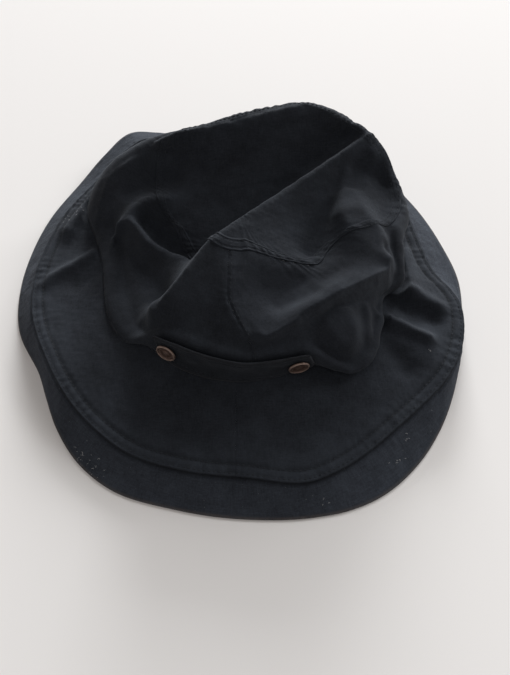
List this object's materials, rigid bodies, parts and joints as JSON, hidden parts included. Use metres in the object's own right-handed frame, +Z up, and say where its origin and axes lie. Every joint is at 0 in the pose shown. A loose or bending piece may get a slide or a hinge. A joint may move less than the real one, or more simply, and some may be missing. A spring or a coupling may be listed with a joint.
{
  "type": "cloth hat",
  "caption": "Soft dark cloth hat with a slumped crown, a wide lapped brim and a buttoned front strap, lying crown up.",
  "frame": {"origin": "on the table, under the middle of the hat's overall width and length", "axes": "+Z up, -Y toward the front of the hat where the strap is, +X toward the wearer's left side, to the right as seen from the front"},
  "size_m": [0.3318, 0.3514, 0.0918],
  "materials": {
    "crown_cloth": "matt woven cotton, charcoal",
    "brim_cloth": "matt woven cotton, charcoal, two layers",
    "band_cloth": "matt woven cotton, charcoal, turned hem",
    "strap_cloth": "matt woven cotton, charcoal, folded and stitched",
    "button_metal": "antique copper plate, rubbed bright on the rim"
  },
  "bodies": {
    "root": {"crown_top": "crown_cloth", "crown_side_left": "crown_cloth", "crown_side_right": "crown_cloth", "brim_left": "brim_cloth", "brim_right": "brim_cloth", "brim_band": "band_cloth", "strap": "strap_cloth", "button_left": "button_metal", "button_right": "button_metal"}
  },
  "joints": []
}
